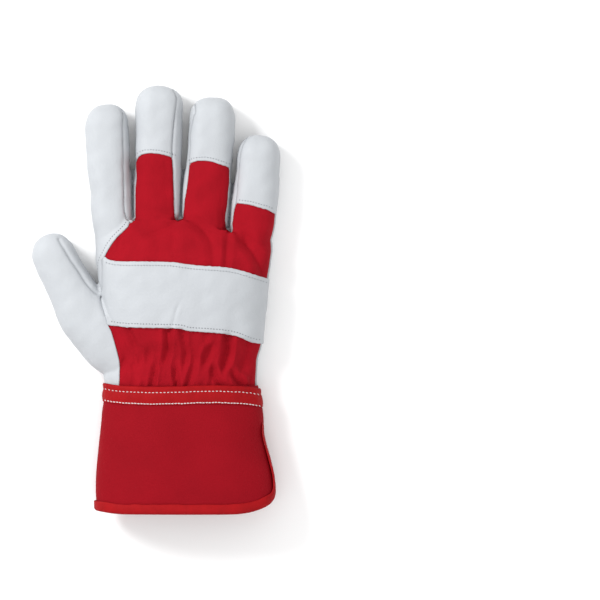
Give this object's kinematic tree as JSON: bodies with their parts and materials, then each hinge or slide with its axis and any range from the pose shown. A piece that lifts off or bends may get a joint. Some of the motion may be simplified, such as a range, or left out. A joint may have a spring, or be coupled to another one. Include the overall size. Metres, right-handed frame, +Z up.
{
  "type": "rigger glove",
  "caption": "Right-hand work glove with a leather palm and fingertips, a cloth back with a leather knuckle strap, and a stiff safety cuff open at one side.",
  "frame": {"origin": "on the flat face of the palm side, under the middle of the palm", "axes": "+X from the thumb side to the little-finger side, +Y from the wrist to the fingertips, +Z up through the back of the hand"},
  "size_m": [0.156, 0.27, 0.0429],
  "materials": {
    "leather": "smooth white grain leather",
    "back_cloth": "red cotton drill",
    "cuff_cloth": "stiff red rubberised cotton",
    "tape": "red folded tape"
  },
  "bodies": {
    "root": {"palm_leather": "leather", "finger_front": "leather", "thumb": "leather", "index_back": "leather", "cap_middle": "leather", "cap_ring": "leather", "cap_little": "leather", "fourchette_index": "leather", "fourchette_middle": "leather", "fourchette_ring": "leather", "back_cloth": "back_cloth", "knuckle_strap": "leather", "cuff": "cuff_cloth", "cuff_band": "tape", "cuff_binding": "tape"}
  },
  "joints": []
}
